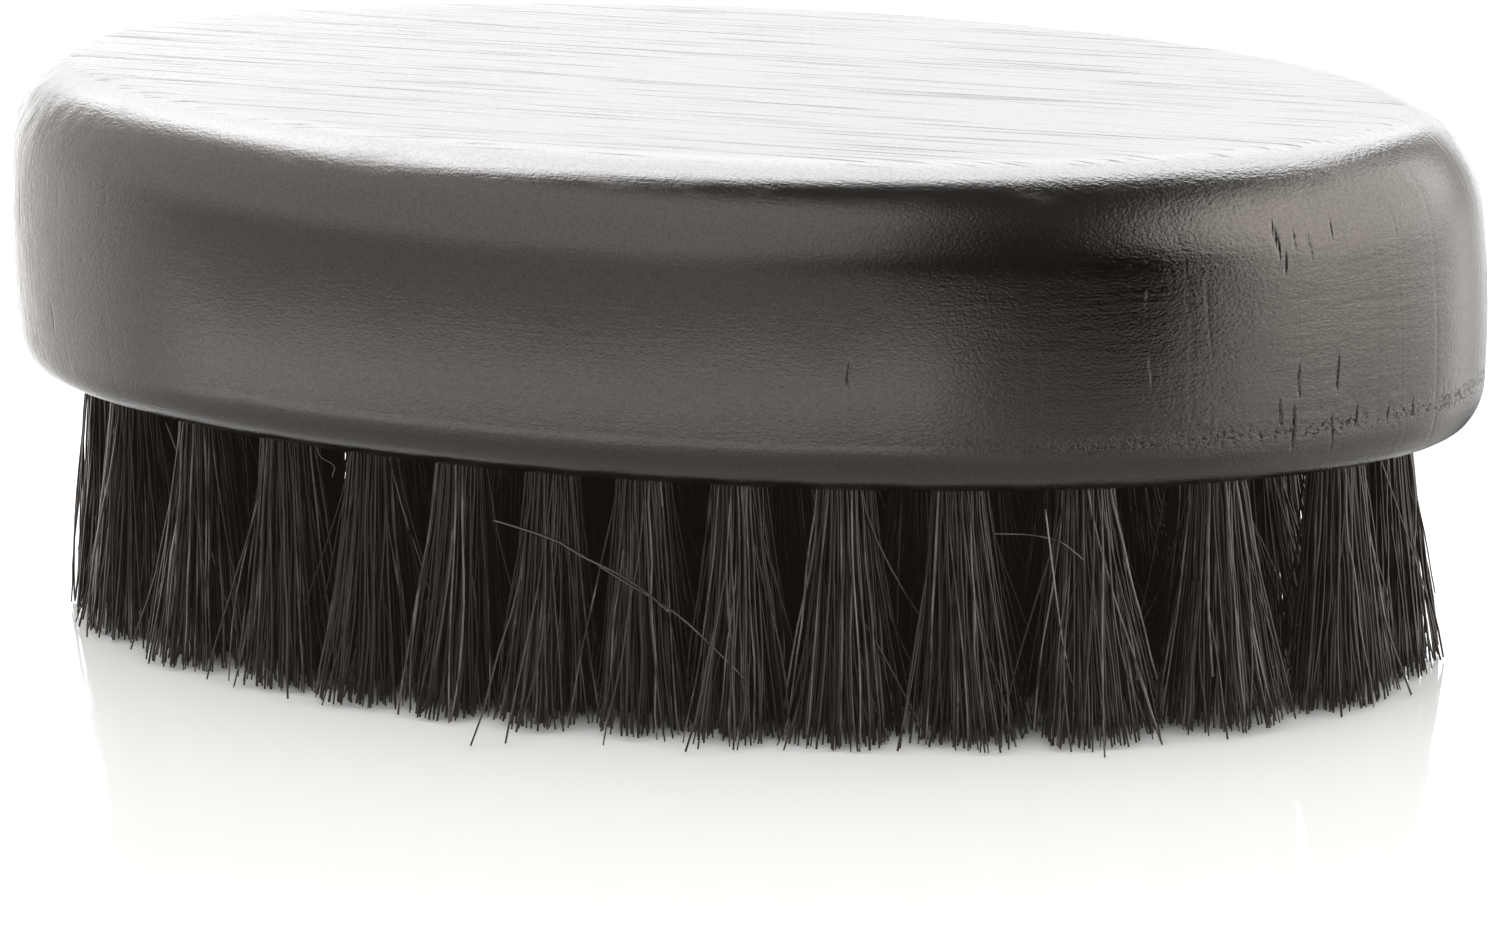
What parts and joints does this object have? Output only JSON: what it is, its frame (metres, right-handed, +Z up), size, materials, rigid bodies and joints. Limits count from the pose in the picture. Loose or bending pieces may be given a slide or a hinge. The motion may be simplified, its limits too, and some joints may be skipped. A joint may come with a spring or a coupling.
{
  "type": "beard brush",
  "caption": "Oval palm brush for beards: a flat-topped lacquered wooden block held in the hand, drilled from below for rings of trimmed natural bristle tufts.",
  "frame": {"origin": "under the middle of the block, in the plane of the trimmed bristle tips that the brush stands on", "axes": "+X along the block's long axis, +Y across it, +Z up from the bristle tips to the flat top"},
  "size_m": [0.12, 0.062, 0.0435],
  "materials": {
    "lacquered_wood": "near-black brown stain under semi-gloss lacquer, with fine grain, end-grain checks and small pits",
    "bristle": "dark brown natural bristle with a soft grey-brown shine",
    "anchor_wire": "flat drawn wire, dull"
  },
  "bodies": {
    "root": {"handle_block": "lacquered_wood", "inner_tuft_01": "bristle", "inner_tuft_02": "bristle", "inner_tuft_03": "bristle", "inner_tuft_04": "bristle", "inner_tuft_05": "bristle", "inner_tuft_06": "bristle", "inner_tuft_07": "bristle", "inner_tuft_08": "bristle", "inner_tuft_09": "bristle", "inner_tuft_10": "bristle", "inner_tuft_11": "bristle", "inner_tuft_12": "bristle", "middle_tuft_01": "bristle", "middle_tuft_02": "bristle", "middle_tuft_03": "bristle", "middle_tuft_04": "bristle", "middle_tuft_05": "bristle", "middle_tuft_06": "bristle", "middle_tuft_07": "bristle", "middle_tuft_08": "bristle", "middle_tuft_09": "bristle", "middle_tuft_10": "bristle", "middle_tuft_11": "bristle", "middle_tuft_12": "bristle", "middle_tuft_13": "bristle", "middle_tuft_14": "bristle", "middle_tuft_15": "bristle", "middle_tuft_16": "bristle", "middle_tuft_17": "bristle", "middle_tuft_18": "bristle", "outer_tuft_01": "bristle", "outer_tuft_02": "bristle", "outer_tuft_03": "bristle", "outer_tuft_04": "bristle", "outer_tuft_05": "bristle", "outer_tuft_06": "bristle", "outer_tuft_07": "bristle", "outer_tuft_08": "bristle", "outer_tuft_09": "bristle", "outer_tuft_10": "bristle", "outer_tuft_11": "bristle", "outer_tuft_12": "bristle", "outer_tuft_13": "bristle", "outer_tuft_14": "bristle", "outer_tuft_15": "bristle", "outer_tuft_16": "bristle", "outer_tuft_17": "bristle", "outer_tuft_18": "bristle", "outer_tuft_19": "bristle", "outer_tuft_20": "bristle", "outer_tuft_21": "bristle", "outer_tuft_22": "bristle", "outer_tuft_23": "bristle", "outer_tuft_24": "bristle", "outer_tuft_25": "bristle", "outer_tuft_26": "bristle", "outer_tuft_27": "bristle", "outer_tuft_28": "bristle"}
  },
  "joints": []
}
